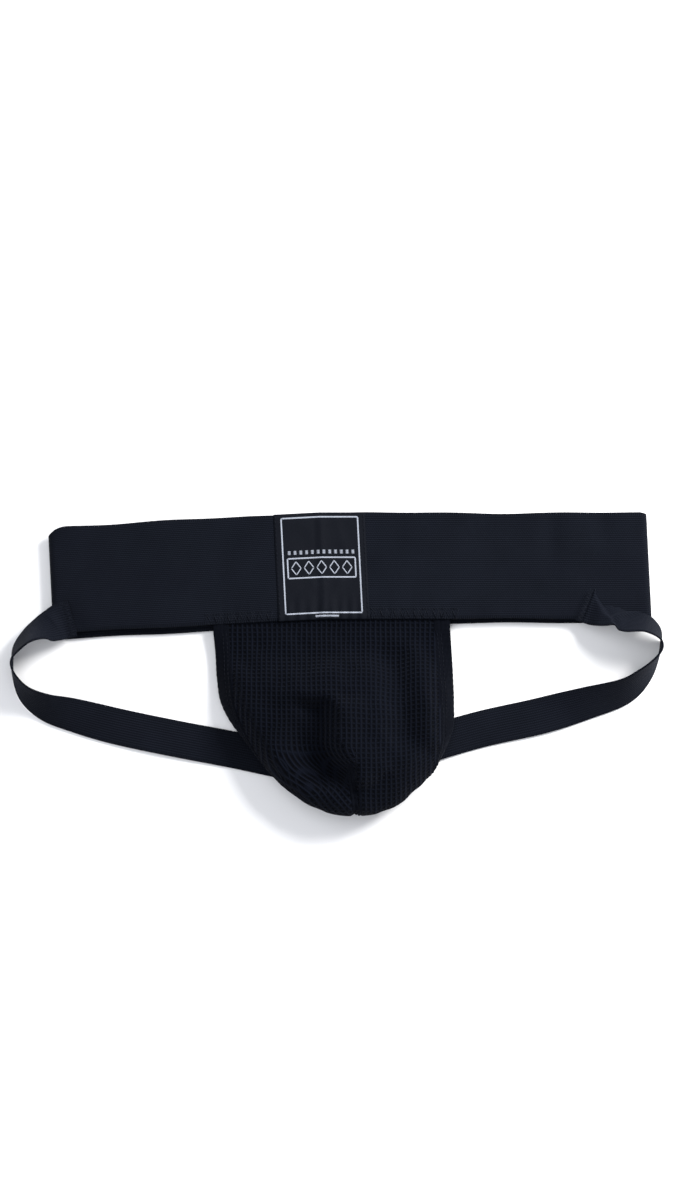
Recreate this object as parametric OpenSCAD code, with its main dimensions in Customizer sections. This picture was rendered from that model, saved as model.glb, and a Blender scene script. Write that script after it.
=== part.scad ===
// Athletic supporter, lying on its back as it is stored: a wide elastic waistband folded flat,
// a knitted pouch hanging from its front, and two elastic leg straps that loop from under the
// pouch to the hips.
// X runs along the waistband, +Y towards its upper edge and +Z up, away from what it lies on.
// The origin is the middle of the waistband's underside.

/* [Waistband] */
// Width of the waistband elastic
band_w = 76; // [64:1:90]
// Thickness of the waistband elastic
band_t = 1.8; // [1.4:0.1:2.2]
// Length of the waistband lying flat, fold to fold
band_flat = 424; // [350:2:480]
// Open space between the front and the back layer
band_gap = 6; // [5:0.5:10]
// How far the left half of the waistband drops, in degrees
band_tilt = 3; // [0:0.5:4]
// How far the back layer shows below the front one at the left end
peek_left = 5; // [1:0.5:7]
// How far the back layer shows below the front one at the right end
peek_right = 2.4; // [1:0.2:4]

/* [Label] */
// Width of the woven label
label_w = 65; // [50:1:75]
// Thickness of the woven label
label_t = 0.5; // [0.3:0.1:0.8]
// Margin from the label's edge to its woven frame line
frame_margin = 5.5; // [4:0.5:8]
// Width of the woven frame line
frame_line = 1; // [0.8:0.1:1.4]

/* [Leg straps] */
// Width of the leg strap elastic
strap_w = 26; // [22:1:30]
// Thickness of the leg strap elastic
strap_t = 1.5; // [1.1:0.1:1.8]
// Width of the turned-under end of a strap
strap_end_fold = 5; // [4:0.5:7]

/* [Pouch] */
// Width of the pouch at the waistband
pouch_w = 168; // [140:2:190]
// Length of the pouch from the waistband to its lowest point
pouch_drop = 132; // [112:2:150]
// Height of the pouch's crown above its edges
pouch_rise = 32; // [24:1:40]
// Thickness of the knitted fabric
knit_t = 1.4; // [1:0.1:1.8]
// Thickness of the turned side hems
hem_t = 2.2; // [2:0.1:3]
// Width of the side hems
hem_w = 11; // [7:1:15]

/* [Seams] */
// Thickness of the sewing thread's lines
thread_t = 0.2; // [0.1:0.1:0.3]
// Width of the line that a thread makes
thread_w = 0.7; // [0.5:0.1:1]
// Height of the zigzag that holds the pouch to the waistband
zigzag_h = 6; // [4:0.5:8]
// Distance between two points of a zigzag
zigzag_pitch = 3; // [2.4:0.2:4]
// Free distance between parts that move past each other
clearance = 0.3; // [0.2:0.1:0.5]

/* [Hidden] */

black = [0.08, 0.09, 0.125];
knit_black = [0.04, 0.05, 0.09];
white = [0.67, 0.68, 0.7];

band_top = band_gap + 2 * band_t;          // upper face of the front layer
fold_r = (band_gap + band_t) / 2;          // radius of the side folds, at mid thickness
bend_x = -20;                              // where the two halves of the waistband meet
front_y = 2.3;                             // mid line of the front layer, right half
lean = 0.05;                               // sideways lean of the waistband's short lines
seam_skin = 0.02;                          // gap between a face and what is sewn on it

// ---- the waistband's mid surface ----
function front_mid(x) = front_y - max(0, bend_x - x) * tan(band_tilt);
function peek(x) = peek_left + (peek_right - peek_left) * (x / band_flat + 0.5);
function back_mid(x) = front_mid(x) - peek(x);
function front_low(x) = front_mid(x) - band_w / 2;     // lower edge of the front layer

// ---- vector helpers ----
function unit(v) = v / norm(v);
function blend(a, b, t) = a + (b - a) * t;
function catmull(a, b, c, d, t) =
    0.5 * (2 * b + (c - a) * t + (2 * a - 5 * b + 4 * c - d) * t * t
           + (3 * b - a - 3 * c + d) * t * t * t);
function curve(p, n) = [for (i = [0 : len(p) - 2]) for (k = [0 : n - 1])
    catmull(p[max(i - 1, 0)], p[i], p[i + 1], p[min(i + 2, len(p) - 1)], k / n), p[len(p) - 1]];
// the value of a curve of stations at t from 0 to 1, with the stations evenly spaced in t
function along(p, t) = let(s = min(t, 0.99999) * (len(p) - 1), i = floor(s))
    catmull(p[max(i - 1, 0)], p[i], p[i + 1], p[min(i + 2, len(p) - 1)], s - i);

// ---- a strip of webbing: rings of four corners, open or closed to a loop ----
module strip(rings, closed = false) {
    n = len(rings);
    points = [for (r = rings) for (p = r) p];
    sides = [for (i = [0 : closed ? n - 1 : n - 2]) for (k = [0 : 3])
        let(a = 4 * i, b = 4 * ((i + 1) % n), m = (k + 1) % 4) [a + k, a + m, b + m, b + k]];
    ends = closed ? [] : [[3, 2, 1, 0], [for (k = [0 : 3]) 4 * (n - 1) + k]];
    split = [for (f = concat(sides, ends)) each [[f[0], f[1], f[2]], [f[0], f[2], f[3]]]];
    polyhedron(points, split);
}

// ---- stitching ----
// a zigzag thread from x = 0 to x = length, h high
module zigzag(length, h, pitch = zigzag_pitch) {
    n = max(2, floor(length / pitch));
    top = [for (i = [0 : n]) [i * length / n, (i % 2) * (h - 2 * thread_w) + 2 * thread_w]];
    low = [for (i = [n : -1 : 0]) [i * length / n, (i % 2) * (h - 2 * thread_w)]];
    linear_extrude(thread_t) polygon(concat(top, low));
}
// a box stitch with its cross, centred
module box_stitch(w, h) {
    linear_extrude(thread_t) {
        difference() {
            square([w, h], center = true);
            square([w - 2 * thread_w, h - 2 * thread_w], center = true);
        }
        for (s = [-1, 1])
            rotate(s * atan2(h, w)) square([norm([w, h]) - 2 * thread_w, thread_w], center = true);
    }
}
// a row of running stitches from x = 0
module running(length, stitch = 3.2, gap = 1.2) {
    n = floor(length / (stitch + gap));
    for (i = [0 : n - 1])
        translate([i * length / n, -thread_w / 2, 0]) cube([stitch, thread_w, thread_t]);
}

// ---- waistband: two flat layers joined by a round fold at each end ----
fold_steps = 8;
fold_mid = band_flat / 2 - fold_r - band_t / 2;
band_x = [-fold_mid, bend_x, fold_mid];
// one ring of the band's loop: its middle, and the direction of its outer face
function band_ring(x, y, z, nx, nz) = let(h = band_w / 2, t = band_t / 2) [
    [x + nx * t + lean * h, y - h, z + nz * t], [x + nx * t - lean * h, y + h, z + nz * t],
    [x - nx * t - lean * h, y + h, z - nz * t], [x - nx * t + lean * h, y - h, z - nz * t]];
function fold_rings(side, from, to) = [for (i = [1 : fold_steps - 1])
    let(k = i / fold_steps, a = 180 * k - 90)
    band_ring(side * (fold_mid + fold_r * cos(a)), blend(from, to, k),
              band_top / 2 + side * fold_r * sin(a), side * cos(a), side * sin(a))];
module waistband_elastic() {
    color(black) strip(concat(
        [for (x = band_x) band_ring(x, back_mid(x), band_t / 2, 0, -1)],
        fold_rings(1, back_mid(fold_mid), front_mid(fold_mid)),
        [for (i = [2 : -1 : 0]) band_ring(band_x[i], front_mid(band_x[i]), band_top - band_t / 2, 0, 1)],
        fold_rings(-1, front_mid(-fold_mid), back_mid(-fold_mid))), closed = true);
}
// zigzag that joins the two ends of the elastic, on the inner face of the front layer
module waistband_join_stitching() {
    length = band_w - seam_over - 5;
    color(black)
        translate([bend_x + zigzag_h / 2, front_y + band_w / 2 - 3 - length,
                   band_top - band_t - thread_t - seam_skin])
            rotate([0, 0, 90]) zigzag(length, zigzag_h);
}

// ---- label: a woven patch as high as the band, over the join ----
// a four-sided outline that follows the bend and the lean, inset by m from the label's edge
function label_y(x, s, m) = front_mid(x) + s * (band_w / 2 - m);
function label_outline(m) = let(w = label_w / 2 - m) [
    for (s = [-1, 1]) for (k = [-1, 0, 1]) let(x = bend_x - s * k * w)
        [x - s * lean * (band_w / 2 - m), label_y(x, s, m)]];
label_z = band_top + seam_skin;
label_top = label_z + label_t;
label_edge = 0.4;
module front_label() {
    color(black) translate([0, 0, label_z]) linear_extrude(label_t) polygon(label_outline(label_edge));
}
frame_low = 7;                              // wider margin at the label's foot
function frame_outline(m) = let(w = label_w / 2 - frame_margin - m, h = band_w / 2) [
    for (s = [-1, 1]) for (k = [-1, 0, 1])
        let(x = bend_x - s * k * w, y = s > 0 ? h - 3.2 - m : -h + frame_low + m)
        [x - lean * y, front_mid(x) + y]];
module label_frame_line() {
    color(white) translate([0, 0, label_top + seam_skin]) linear_extrude(thread_t) difference() {
        polygon(frame_outline(0));
        polygon(frame_outline(frame_line));
    }
}
// plain woven motif: a row of small squares over a box that holds a row of lozenges
emblem_w = 48;
emblem_h = 13.8;
emblem_y = 5;
module lozenge(w, h) {
    difference() {
        polygon([[-w / 2, 0], [0, -h / 2], [w / 2, 0], [0, h / 2]]);
        polygon([[-w / 4, 0], [0, -h / 4], [w / 4, 0], [0, h / 4]]);
    }
}
module label_emblem() {
    squares = 12;
    lozenges = 5;
    color(white) translate([bend_x, front_y + emblem_y - emblem_h / 2, label_top + seam_skin])
        linear_extrude(thread_t) {
            difference() {
                square([emblem_w, emblem_h], center = true);
                square([emblem_w - 2 * frame_line, emblem_h - 2 * frame_line], center = true);
            }
            for (i = [0 : lozenges - 1])
                translate([(i - (lozenges - 1) / 2) * emblem_w / (lozenges + 0.6), 0])
                    lozenge(6.8, emblem_h - 5);
            for (i = [0 : squares - 1])
                translate([(i - (squares - 1) / 2) * (emblem_w - 3) / (squares - 1), emblem_h / 2 + 4])
                    square(2.2, center = true);
        }
}
// black running stitches along the label's two sides
module label_stitching() {
    length = band_w - 6;
    color(black) for (s = [-1, 1])
        translate([bend_x + s * (label_w / 2 - 2) + lean * length / 2,
                   front_mid(bend_x + s * label_w / 2) - length / 2, label_top + seam_skin])
            rotate([0, 0, 90 + atan(lean)]) running(length);
}
// dense white tack at the label's foot
module label_bar_tack() {
    w = 17;
    color(white) translate([bend_x + 2 - w / 2, front_low(bend_x) + 1.4, label_top + seam_skin])
        rotate([0, 0, 1.5]) zigzag(w, 2, 1.2);
}

// ---- seam of pouch and waistband ----
pouch_x = -13;                              // middle of the pouch at the waistband
hinge_y = front_low(pouch_x - pouch_w / 2) - 1.8;      // line along which the pouch folds
hinge_z = band_top - band_t - seam_skin - knit_t / 2;
hinge_gap = 1;                              // clear of the fold line on each side
seam_over = 8;                              // how far the pouch reaches up behind the band
zigzag_up = 1.6;
module pouch_seam_zigzag() {
    reach = 6;
    label_half = label_w / 2 + 3;
    left = pouch_x - pouch_w / 2 - reach;
    right = pouch_x + pouch_w / 2 + reach;
    color(black) translate([0, 0, band_top + seam_skin]) {
        translate([left, front_low(left) + zigzag_up, 0])
            rotate([0, 0, band_tilt]) zigzag(bend_x - label_half - left, zigzag_h);
        translate([bend_x + label_half, front_low(bend_x) + zigzag_up, 0])
            zigzag(right - bend_x - label_half, zigzag_h);
    }
}
// the pouch's top edge, turned up behind the front layer
module pouch_top_hem() {
    l = pouch_x - pouch_w / 2;
    r = pouch_x + pouch_w / 2;
    low = hinge_y + hinge_gap;
    color(knit_black) translate([0, 0, hinge_z - knit_t / 2]) linear_extrude(knit_t)
        polygon([[l, low], [r, low], [r, front_low(r) + seam_over],
                 [bend_x, front_low(bend_x) + seam_over], [l, front_low(l) + seam_over]]);
}

// ---- pouch: a hood of sections that tip from upright at the top to lying under at the foot ----
// Its two edges, as shares of the pouch's width and drop, then the share of the way from their
// height over the straps up to the seam, and how many clearances are added:
// [x / pouch_w, y / pouch_drop, share, clearances].
left_edge = [[-0.5, 0, 1, 0], [-0.49, -0.13, 0.31, 0], [-0.482, -0.27, 0, 0], [-0.463, -0.4, 0, 0],
             [-0.4, -0.53, 0, 0], [-0.29, -0.655, 0, 0.8], [-0.17, -0.735, 0, 1.3],
             [-0.09, -0.745, 0, 1.3]];
right_edge = [[0.5, 0, 1, 0], [0.507, -0.13, 0.31, 0], [0.512, -0.27, 0, 0], [0.515, -0.4, 0, 0],
              [0.51, -0.53, 0, 0], [0.46, -0.655, 0, 0.8], [0.37, -0.735, 0, 1.3],
              [0.27, -0.745, 0, 1.3]];
// the crown of each section: [share of the rise, share of the drop that it leans down by]
crown = [[0, 0], [0.3, 0], [0.76, 0], [1, 0.05], [0.98, 0.17], [0.72, 0.315], [0.2, 0.25], [0, 0]];
edge_high = hinge_z;
tape_t = 0.5;                               // tape under the straps' ends
crotch_lift = thread_t + tape_t;            // the straps' ends lie on the tape and its stitches
edge_low = crotch_lift + strap_t + clearance + hem_t - knit_t / 2;
function edge_point(e) = [pouch_x + e[0] * pouch_w, hinge_y - hinge_gap + e[1] * pouch_drop,
                          blend(edge_low, edge_high, e[2]) + e[3] * clearance];
// roundness of a section at u from -1 to 1
function dome(u) = pow(max(0, 1 - pow(abs(u), 2.4)), 0.75);
function pouch_at(u, v) =
    let(e = blend(edge_point(along(left_edge, v)), edge_point(along(right_edge, v)), (u + 1) / 2),
        c = along(crown, v), f = dome(u))
    e + [0, -c[1] * pouch_drop * f, c[0] * pouch_rise * f];
function pouch_normal(u, v) = let(d = 0.004,
    du = pouch_at(min(1, u + d), v) - pouch_at(max(-1, u - d), v),
    dv = pouch_at(u, min(1, v + d)) - pouch_at(u, max(0, v - d))) unit(cross(dv, du));
// a patch of the pouch's surface, between two heights above its mid surface
module pouch_patch(u0, u1, v0, v1, low, high, nu, nv) {
    grid = [for (j = [0 : nv]) for (i = [0 : nu])
        let(u = blend(u0, u1, i / nu), v = blend(v0, v1, j / nv)) [pouch_at(u, v), pouch_normal(u, v)]];
    n = len(grid);
    w = nu + 1;
    points = concat([for (g = grid) g[0] + g[1] * high], [for (g = grid) g[0] + g[1] * low]);
    cells = [for (j = [0 : nv - 1]) for (i = [0 : nu - 1]) let(a = j * w + i) each [
        [a, a + w, a + 1], [a + 1, a + w, a + w + 1],
        [n + a, n + a + 1, n + a + w], [n + a + 1, n + a + w + 1, n + a + w]]];
    rim = concat([for (i = [0 : nu]) i], [for (j = [1 : nv]) j * w + nu],
                 [for (i = [nu - 1 : -1 : 0]) nv * w + i], [for (j = [nv - 1 : -1 : 1]) j * w]);
    m = len(rim);
    walls = [for (k = [0 : m - 1]) let(a = rim[k], b = rim[(k + 1) % m]) each [
        [a, b, n + a], [b, n + b, n + a]]];
    polyhedron(points, concat(cells, walls));
}
hem_u = 1 - 2 * hem_w / pouch_w;
pouch_rows = 32;
module pouch_panel() {
    color(knit_black) pouch_patch(-hem_u + seam_u, hem_u - seam_u, 0, 1, -knit_t / 2, knit_t / 2,
                                  26, pouch_rows);
}
seam_u = 0.003;                             // half the seam between panel and hem, as a share
module pouch_side_hem(s) {
    top = knit_t / 2;
    color(knit_black) pouch_patch(s > 0 ? hem_u + seam_u : -1, s > 0 ? 1 : -hem_u - seam_u, 0, 1,
                                  top - hem_t, top, 3, pouch_rows);
}
module pouch_left_hem() { pouch_side_hem(-1); }
module pouch_right_hem() { pouch_side_hem(1); }
// two rows of thread along each side hem
module pouch_hem_stitching() {
    low = knit_t / 2 + 8 * seam_skin;
    du = 2 * thread_w / pouch_w;
    color(black) for (s = [-1, 1]) for (row = [0, 1]) {
        u = s * (hem_u + 0.02 + row * 0.035);
        pouch_patch(u - du / 2, u + du / 2, 0.03, 0.93, low, low + thread_t, 1, pouch_rows);
    }
}
dart_u = 0.05;
// short seam that closes the dart at the pouch's foot
module pouch_dart_seam() {
    low = knit_t / 2 + 5 * seam_skin;
    color(knit_black) pouch_patch(dart_u - 0.02, dart_u + 0.02, 0.5625, 0.8125, low, low + 0.8, 2, 16);
}

// ---- leg straps ----
crotch = [4, hinge_y - 0.745 * pouch_drop - 4];        // middle of the strap ends' joint
tape = [64, 30];
// stations from the joint to the hip: [x, y, what it lies on, roll]. At roll 0 the strap lies
// flat, at 90 it stands on its outer edge, and at 180 it lies on its other face.
left_hip = [-0.462 * band_flat, front_low(-0.462 * band_flat) + 10];
right_hip = [0.386 * band_flat, front_low(0.386 * band_flat) + 12];
function from_left(dx, dy) = [left_hip[0] + dx, left_hip[1] + dy];
function from_right(dx, dy) = [right_hip[0] + dx, right_hip[1] + dy];
left_stations = [
    [crotch[0] - 3, crotch[1], crotch_lift, 0],
    [crotch[0] - 36, crotch[1] + 5, crotch_lift, 0],
    [crotch[0] - 86, crotch[1] + 15.5, 0, 0],
    [crotch[0] - 125, crotch[1] + 23, 0, 0],
    [each from_left(32, -77), 0, 4],
    [each from_left(0, -68.5), 0, 22],
    [each from_left(-19, -63), 0, 40],
    [each from_left(-33, -54), 0, 60],
    [each from_left(-41, -41), 0, 80],
    [each from_left(-43, -30), 0, 87],
    [each from_left(-39.5, -21), 4, 76],
    [each from_left(-31, -12), band_top, 66],
    [each from_left(-21, -6), band_top, 50],
    [each from_left(-14, -3.8), band_top, 26],
    [each from_left(-7, -1.9), band_top, 0],
    [each from_left(0, 0), band_top, 0]];
right_stations = [
    [crotch[0] + 6, crotch[1] + 1.5, crotch_lift, 0],
    [crotch[0] + 38, crotch[1] + 15, crotch_lift, 0],
    [crotch[0] + 86, crotch[1] + 29.5, 0, 0],
    [crotch[0] + 130, crotch[1] + 39.5, 0, 3],
    [each from_right(3, -71.5), 0, 25],
    [each from_right(30, -63), 0, 43],
    [each from_right(45, -51), 0, 62],
    [each from_right(54.5, -37), 0, 84],
    [each from_right(56.5, -28), 0, 87],
    [each from_right(52.5, -20), 7, 72],
    [each from_right(43, -13.5), band_top + 2 * clearance, 60],
    [each from_right(28, -7), band_top, 48],
    [each from_right(15, -4.6), band_top, 22],
    [each from_right(7, -2.7), band_top, 0],
    [each from_right(0, 0), band_top, 0]];
strap_steps = 3;
function strap_rings(stations, side) = let(p = curve(stations, strap_steps), n = len(p)) [
    for (i = [0 : n - 1]) let(
        ahead = p[min(i + 1, n - 1)] - p[max(i - 1, 0)],
        t = unit([ahead[0], ahead[1], 0]),
        out = side * [t[1], -t[0], 0],
        roll = max(0, p[i][3]),
        w = out * cos(roll) - [0, 0, sin(roll)],
        up = side * cross(t, w),
        z = max(0, p[i][2]) + strap_w / 2 * abs(sin(roll)) + strap_t / 2 * abs(cos(roll)) + 3 * seam_skin,
        c = [p[i][0], p[i][1], z])
    [c + w * strap_w / 2 - up * strap_t / 2, c + w * strap_w / 2 + up * strap_t / 2,
     c - w * strap_w / 2 + up * strap_t / 2, c - w * strap_w / 2 - up * strap_t / 2]];
module left_leg_strap() {
    color(black) strip(strap_rings(left_stations, -1));
}
module right_leg_strap() {
    color(black) strip(strap_rings(right_stations, 1));
}

// ---- strap seams ----
// zigzag across the end of a strap, over its turned-under edge
module strap_end_zigzag(hip, before) {
    heading = atan2(hip[1] - before[1], hip[0] - before[0]);
    color(black) translate([hip[0], hip[1], band_top + strap_t + 4 * seam_skin])
        rotate([0, 0, heading - 90]) translate([-strap_w / 2 + 1, -strap_end_fold - 0.5, 0])
            zigzag(strap_w - 2, strap_end_fold);
}
module right_strap_stitching() { strap_end_zigzag(right_hip, from_right(7, -2.7)); }
module left_strap_stitching() { strap_end_zigzag(left_hip, from_left(-7, -1.9)); }
module rounded(size, r) {
    hull() for (x = [-1, 1]) for (y = [-1, 1])
        translate([x * (size[0] / 2 - r), y * (size[1] / 2 - r)]) circle(r, $fn = 32);
}
// tape under the two strap ends
module crotch_tape() {
    color(black) translate([crotch[0], crotch[1] + 1, thread_t])
        linear_extrude(tape_t) rounded(tape, 2);
}
module strap_join_stitching() {
    color(black) for (s = [-1, 1])
        translate([crotch[0] + s * tape[0] / 4, crotch[1] + 1, 0])
            box_stitch(tape[0] / 2 - 6, tape[1] - 8);
}

waistband_elastic();
waistband_join_stitching();
front_label();
label_frame_line();
label_emblem();
label_stitching();
label_bar_tack();
pouch_seam_zigzag();
pouch_top_hem();
left_strap_stitching();
right_strap_stitching();
pouch_panel();
pouch_left_hem();
pouch_right_hem();
pouch_hem_stitching();
pouch_dart_seam();
crotch_tape();
strap_join_stitching();
left_leg_strap();
right_leg_strap();
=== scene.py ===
import math

import bpy
import numpy as np
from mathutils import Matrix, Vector


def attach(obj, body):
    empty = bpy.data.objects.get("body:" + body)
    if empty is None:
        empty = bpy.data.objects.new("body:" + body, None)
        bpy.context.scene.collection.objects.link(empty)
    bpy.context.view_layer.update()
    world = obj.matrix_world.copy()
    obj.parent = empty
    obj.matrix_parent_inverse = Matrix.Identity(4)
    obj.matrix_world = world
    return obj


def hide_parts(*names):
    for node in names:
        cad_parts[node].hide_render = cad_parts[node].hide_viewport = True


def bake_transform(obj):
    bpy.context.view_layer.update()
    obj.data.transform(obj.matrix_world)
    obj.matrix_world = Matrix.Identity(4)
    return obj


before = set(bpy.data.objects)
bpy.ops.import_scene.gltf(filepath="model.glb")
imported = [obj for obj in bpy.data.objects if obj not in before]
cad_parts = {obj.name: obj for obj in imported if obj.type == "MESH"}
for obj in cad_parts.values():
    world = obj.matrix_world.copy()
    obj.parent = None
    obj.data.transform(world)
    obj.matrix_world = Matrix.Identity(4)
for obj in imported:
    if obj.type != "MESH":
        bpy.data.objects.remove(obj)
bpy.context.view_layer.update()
MM = 0.001

# ------------------------------------------------------------------ sizes, in mm
BAND_W, BAND_T, BAND_TOP = 76.0, 1.8, 9.6
FOLD_R = 3.9
BAND_MID_Z = BAND_TOP / 2
FOLD_MID = 424 / 2 - FOLD_R - 0.9
BEND_X, FRONT_Y, LEAN, TILT = -20.0, 2.3, 0.05, math.tan(math.radians(3))
STRAP_W, STRAP_T = 26.0, 1.5
POUCH_X, POUCH_W, POUCH_D, POUCH_RISE = -13.0, 168.0, 132.0, 32.0
KNIT_T = 1.4


def front_mid(x):
    return FRONT_Y - np.maximum(0, BEND_X - x) * TILT


def back_mid(x):
    return front_mid(x) - (5 - 2.6 * (x / 424 + 0.5))


def front_low(x):
    return front_mid(x) - BAND_W / 2


HINGE_Y = float(front_low(POUCH_X - POUCH_W / 2)) - 1.8
HINGE_Z = 7.08


def smooth(a, b, x):
    t = np.clip((np.asarray(x, float) - a) / (b - a), 0, 1)
    return t * t * (3 - 2 * t)


def bump(x, c, w):
    return np.exp(-(((np.asarray(x, float) - c) / w) ** 2))


def segment(x, y, a, b):
    """Distance from the line a-b, its signed side, and the share along it."""
    dx, dy = b[0] - a[0], b[1] - a[1]
    n = dx * dx + dy * dy
    t = np.clip(((x - a[0]) * dx + (y - a[1]) * dy) / n, 0, 1)
    ex, ey = x - (a[0] + t * dx), y - (a[1] + t * dy)
    return np.hypot(ex, ey), (ex * dy - ey * dx) / math.sqrt(n), t


def catmull(p, n):
    p = np.asarray(p, float)
    out = []
    for i in range(len(p) - 1):
        a, b, c, d = p[max(i - 1, 0)], p[i], p[i + 1], p[min(i + 2, len(p) - 1)]
        for k in range(n):
            t = k / n
            out.append(0.5 * (2 * b + (c - a) * t + (2 * a - 5 * b + 4 * c - d) * t * t
                              + (3 * b - a - 3 * c + d) * t ** 3))
    out.append(p[-1])
    return np.array(out)


# smooth periodic noise made of a few sine waves, about +-1
def waves(x, y, scale, seed):
    r = np.random.default_rng(seed)
    total = 0
    for _ in range(7):
        a = r.uniform(0, 2 * math.pi)
        f = 2 * math.pi / scale * r.uniform(0.6, 1.5)
        total = total + np.sin(f * (np.cos(a) * x + np.sin(a) * y) + r.uniform(0, 6.28))
    return total / 3.2


# ------------------------------------------------------------------ mesh helpers
def make_mesh(name, verts, faces, uvs=None, material=None):
    me = bpy.data.meshes.new(name)
    me.from_pydata((np.asarray(verts, float) * MM).tolist(), [], [list(map(int, f)) for f in faces])
    if uvs is not None:
        layer = me.uv_layers.new(name="UVMap")
        loops = np.zeros(len(me.loops), int)
        me.loops.foreach_get("vertex_index", loops)
        layer.data.foreach_set("uv", np.asarray(uvs, float)[loops].ravel())
    me.update()
    me.polygons.foreach_set("use_smooth", [True] * len(me.polygons))
    o = bpy.data.objects.new(name, me)
    bpy.context.scene.collection.objects.link(o)
    if material:
        me.materials.append(material)
    return o


def slab_faces(nu, nv, flip=False):
    """Faces of a closed slab whose two sides are nu x nv grids of points, one after the other."""
    n = nu * nv
    faces = []
    for i in range(nu - 1):
        for j in range(nv - 1):
            a, b, c, d = i * nv + j, (i + 1) * nv + j, (i + 1) * nv + j + 1, i * nv + j + 1
            faces += [(a, d, c, b), (n + a, n + b, n + c, n + d)]
    rim = [i * nv for i in range(nu)] + [(nu - 1) * nv + j for j in range(1, nv)]
    rim += [i * nv + nv - 1 for i in range(nu - 2, -1, -1)] + list(range(nv - 2, 0, -1))
    for k, a in enumerate(rim):
        b = rim[(k + 1) % len(rim)]
        faces.append((a, b, n + b, n + a))
    return [(f[0], *f[:0:-1]) for f in faces] if flip else faces


def ring_sweep(name, rings, uvs, material, closed=False, normals=None):
    """rings: n x m x 3 points round the section; uvs the same with 2."""
    n, m = rings.shape[:2]
    verts = rings.reshape(-1, 3)
    uv = uvs.reshape(-1, 2)
    faces = []
    last = n if closed else n - 1
    for i in range(last):
        j = (i + 1) % n
        for k in range(m):
            q = (k + 1) % m
            faces.append((i * m + k, j * m + k, j * m + q, i * m + q))
    if not closed:
        faces.append([k for k in range(m)])
        faces.append([(n - 1) * m + k for k in range(m)][::-1])
    o = make_mesh(name, verts, faces, uv, material)
    if normals is not None:
        o.data.normals_split_custom_set_from_vertices(normals.reshape(-1, 3).tolist())
    return o


def ring_normals(rings):
    """Smooth normals over a whole sweep, so that pieces cut from it shade as one."""
    along = np.gradient(rings, axis=0)
    around = (np.roll(rings, -1, axis=1) - np.roll(rings, 1, axis=1))
    n = np.cross(along, around)
    n /= np.maximum(np.linalg.norm(n, axis=-1), 1e-9)[..., None]
    out = rings - rings.mean(1, keepdims=True)
    flip = np.sign((n * out).sum(-1).sum(-1))
    return n * flip[:, None, None]


def section(width, thick, across, edge=5):
    """Points (w, t) round a webbing's section: its top, one edge, its underside, the other edge."""
    h, r = width / 2, thick / 2
    top = [(w, r) for w in np.linspace(-h + r, h - r, across)]
    right = [(h - r + r * math.cos(a), r * math.sin(a))
             for a in np.linspace(math.pi / 2, -math.pi / 2, edge + 2)[1:-1]]
    low = [(w, -r) for w in np.linspace(h - r, -h + r, across)]
    left = [(-h + r - r * math.cos(a), r * math.sin(a))
            for a in np.linspace(-math.pi / 2, math.pi / 2, edge + 2)[1:-1]]
    return np.array(top + right + low + left)


def tube(points, radius, sides=6, squash=1.0):
    """Verts and faces of a thread along points, with rounded-off ends."""
    p = np.asarray(points, float)
    n = len(p)
    t = np.gradient(p, axis=0)
    t /= np.maximum(np.linalg.norm(t, axis=1), 1e-9)[:, None]
    up = np.tile([0.0, 0.0, 1.0], (n, 1))
    side = np.cross(t, up)
    ln = np.linalg.norm(side, axis=1)
    side[ln < 1e-3] = [1, 0, 0]
    side /= np.maximum(np.linalg.norm(side, axis=1), 1e-9)[:, None]
    up = np.cross(side, t)
    verts, faces = [], []
    for i in range(n):
        r = radius * (0.45 if i in (0, n - 1) else 1.0)
        for k in range(sides):
            a = 2 * math.pi * k / sides
            verts.append(p[i] + side[i] * r * math.cos(a) + up[i] * r * squash * math.sin(a))
    for i in range(n - 1):
        for k in range(sides):
            q = (k + 1) % sides
            faces.append((i * sides + k, i * sides + q, (i + 1) * sides + q, (i + 1) * sides + k))
    faces.append(list(range(sides))[::-1])
    faces.append([(n - 1) * sides + k for k in range(sides)])
    return verts, faces


def join_threads(name, threads, radius, material, sides=6, squash=1.0):
    verts, faces = [], []
    for t in threads:
        v, f = tube(t, radius, sides, squash)
        base = len(verts)
        verts += v
        faces += [[i + base for i in q] for q in f]
    return make_mesh(name, verts, faces, None, material)


# ------------------------------------------------------------------ materials
def new_material(name, rough, sheen):
    m = bpy.data.materials.new(name)
    m.use_nodes = True
    nt = m.node_tree
    bsdf = nt.nodes["Principled BSDF"]
    bsdf.inputs["Roughness"].default_value = rough
    bsdf.inputs["Specular IOR Level"].default_value = 0.05
    bsdf.inputs["Sheen Weight"].default_value = 0.35 * sheen
    bsdf.inputs["Sheen Roughness"].default_value = 0.45
    bsdf.inputs["Sheen Tint"].default_value = (0.45, 0.5, 0.68, 1)
    return m, nt, bsdf


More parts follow.
